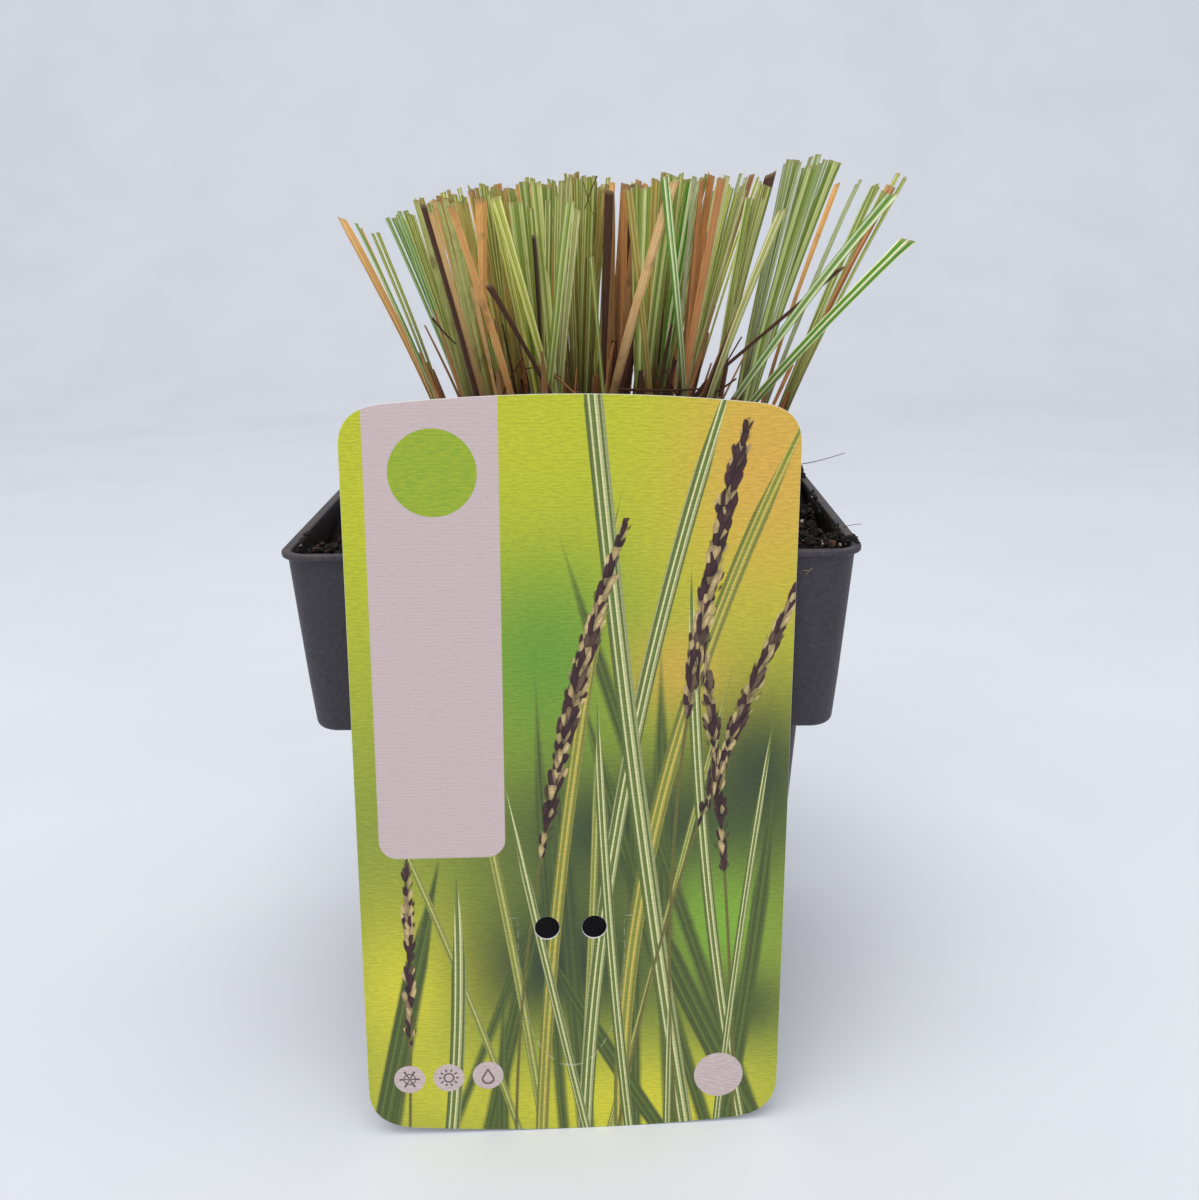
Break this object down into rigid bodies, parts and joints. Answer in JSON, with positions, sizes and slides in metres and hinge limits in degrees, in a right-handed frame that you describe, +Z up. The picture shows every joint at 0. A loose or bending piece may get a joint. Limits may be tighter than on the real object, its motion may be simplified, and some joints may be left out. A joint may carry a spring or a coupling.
{
  "type": "potted purple moor grass",
  "caption": "Clump of striped moor grass, cut level, rooted in soil in a square nursery pot, with a printed plant card leaning on the front.",
  "frame": {"origin": "centre of the pot's flat underside", "axes": "+Z up through the tuft, -Y towards the plant card, +X to the right seen from the card's side"},
  "size_m": [0.1264, 0.1203, 0.1908],
  "materials": {
    "pot": "matte",
    "soil": "matte",
    "label": "satin",
    "green_blade": "satin",
    "dry_blade": "matte",
    "dark_stalk": "matte"
  },
  "bodies": {
    "root": {"pot": "pot", "soil": "soil", "label": "label", "dry_tiller_1a": "dry_blade", "green_tiller_1b": "green_blade", "dry_tiller_1c": "dry_blade", "green_tiller_1d": "green_blade", "dry_tiller_2a": "dry_blade", "green_tiller_2b": "green_blade", "old_culm_2c": "dark_stalk", "green_tiller_2d": "green_blade", "dry_tiller_2e": "dry_blade", "green_tiller_2f": "green_blade", "green_tiller_2g": "green_blade", "green_tiller_3a": "green_blade", "green_tiller_3b": "green_blade", "dry_tiller_3c": "dry_blade", "green_tiller_3d": "green_blade", "dry_tiller_3e": "dry_blade", "green_tiller_3f": "green_blade", "dead_stalk_1e": "dark_stalk", "green_tiller_4a": "green_blade", "dry_tiller_4b": "dry_blade", "green_tiller_4c": "green_blade", "green_tiller_4d": "green_blade", "dry_tiller_4e": "dry_blade", "green_tiller_4f": "green_blade", "green_tiller_4g": "green_blade", "dry_tiller_4h": "dry_blade", "green_tiller_4i": "green_blade", "green_tiller_4j": "green_blade", "green_stray_5a": "green_blade", "green_tiller_5b": "green_blade", "dry_tiller_5c": "dry_blade", "green_tiller_5d": "green_blade", "green_tiller_5e": "green_blade", "dry_tiller_5f": "dry_blade", "green_tiller_5g": "green_blade", "dry_tiller_5h": "dry_blade", "green_tiller_6a": "green_blade", "dry_tiller_6b": "dry_blade", "green_tiller_6c": "green_blade", "dry_tiller_6d": "dry_blade", "green_tiller_6e": "green_blade", "green_tiller_6f": "green_blade", "green_tiller_7a": "green_blade", "dry_tiller_7b": "dry_blade", "green_tiller_7c": "green_blade", "dry_tiller_7d": "dry_blade", "green_tiller_7e": "green_blade"}
  },
  "joints": []
}
